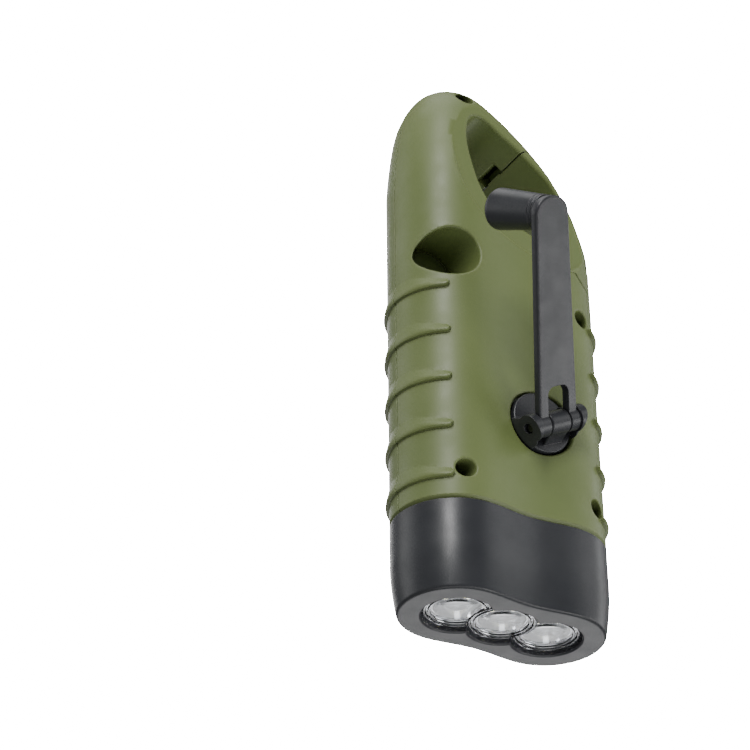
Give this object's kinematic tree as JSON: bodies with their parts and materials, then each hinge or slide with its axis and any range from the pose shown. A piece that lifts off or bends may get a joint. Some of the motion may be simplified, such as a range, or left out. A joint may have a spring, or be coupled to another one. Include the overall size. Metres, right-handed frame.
{
  "type": "hand crank flashlight",
  "caption": "Hand crank flashlight with a carabiner loop and gate, a row of lamps in a dark head, a solar cell on the front and a folding crank on the back.",
  "frame": {"origin": "under the middle of the whole at the lamp end, on the plane of the lamp end face", "axes": "+Z from the lamp end up to the carabiner loop, -Y out of the solar face, +Y out of the crank face, +X towards the closed spine, -X towards the gate and the power button"},
  "size_m": [0.0516, 0.0596, 0.1377],
  "materials": {
    "green_plastic": "satin moulded olive green plastic",
    "grey_plastic": "satin moulded dark grey plastic",
    "clear_lens": "clear polished plastic",
    "chrome_bowl": "bright plated bowl",
    "lamp_resin": "clear resin with a pale yellow chip",
    "circuit_board": "green circuit board",
    "solar_glass": "copper brown cell under a glossy film",
    "steel": "plain zinc bright steel",
    "brass": "turned brass",
    "copper_wire": "enamelled copper winding",
    "white_plastic": "white moulded gear plastic",
    "black_plastic": "black moulded plastic"
  },
  "bodies": {
    "case": {"front_shell": "green_plastic", "back_shell": "green_plastic", "head_cap": "grey_plastic", "solar_frame": "grey_plastic", "lens_plate": "clear_lens", "reflector_1": "chrome_bowl", "reflector_2": "chrome_bowl", "reflector_3": "chrome_bowl", "led_1": "lamp_resin", "led_2": "lamp_resin", "led_3": "lamp_resin", "led_board": "circuit_board", "main_board": "circuit_board", "solar_cell": "solar_glass", "gate_pin": "steel", "gate_spring": "steel", "led_board_screw_1": "steel", "led_board_screw_2": "steel", "idler_axle": "steel", "generator_can": "steel", "gear_plate": "steel", "plate_screw_1": "steel", "plate_screw_2": "steel", "plate_screw_3": "steel", "battery": "steel", "case_screw_1": "steel", "case_screw_2": "steel", "case_screw_3": "steel", "case_screw_4": "steel", "crank_bush": "brass", "generator_coil": "copper_wire", "lamp_lead_1": "black_plastic", "lamp_lead_2": "black_plastic", "solar_lead": "black_plastic", "control_chip": "black_plastic", "capacitor": "black_plastic", "push_switch": "black_plastic"},
    "crank": {"crank_hub": "grey_plastic", "crank_shaft": "steel", "crank_gear": "white_plastic", "hinge_pin": "steel"},
    "arm": {"crank_arm": "grey_plastic", "knob_screw": "steel"},
    "knob": {"crank_knob": "grey_plastic"},
    "idler": {"idler_gear": "white_plastic"},
    "rotor": {"rotor_pinion": "brass", "rotor_axle": "steel", "rotor_magnet": "steel"},
    "gate": {"carabiner_gate": "green_plastic"},
    "button": {"power_button": "black_plastic"}
  },
  "joints": [
    {"name": "crank_spin", "type": "hinge", "parent": "case", "child": "crank", "pos_m": [-0.00339, -0.01619, 0.0446], "axis": [0, 1, 0], "continuous": true},
    {"name": "crank_fold", "type": "hinge", "parent": "crank", "child": "arm", "pos_m": [-0.00424, 0.00021, 0.04301], "axis": [-0.8829, 0, 0.4695], "range_deg": [-35, 145]},
    {"name": "knob_spin", "type": "hinge", "parent": "arm", "child": "knob", "pos_m": [0.01318, 0.02619, 0.07577], "axis": [0.2693, -0.8192, 0.5064], "continuous": true},
    {"name": "idler_spin", "type": "hinge", "parent": "case", "child": "idler", "pos_m": [0.00561, -0.01619, 0.06019], "axis": [0, 1, 0], "continuous": true},
    {"name": "rotor_spin", "type": "hinge", "parent": "case", "child": "rotor", "pos_m": [-0.00099, -0.01619, 0.07433], "axis": [0, 1, 0], "continuous": true},
    {"name": "gate_swing", "type": "hinge", "parent": "case", "child": "gate", "pos_m": [-0.02079, -0.01619, 0.0942], "axis": [0, 1, 0], "range_deg": [0, 25], "stiffness_Nm_per_rad": 0.08, "springref_deg": -20.05},
    {"name": "button_press", "type": "slide", "parent": "case", "child": "button", "axis": [1, 0, 0], "range_m": [0, 0.0005], "stiffness_N_per_m": 800, "springref_m": -0.001}
  ],
  "couplings": [
    {"joint": "idler_spin", "follows": "crank_spin", "ratio": -4},
    {"joint": "rotor_spin", "follows": "crank_spin", "ratio": 13.333}
  ]
}
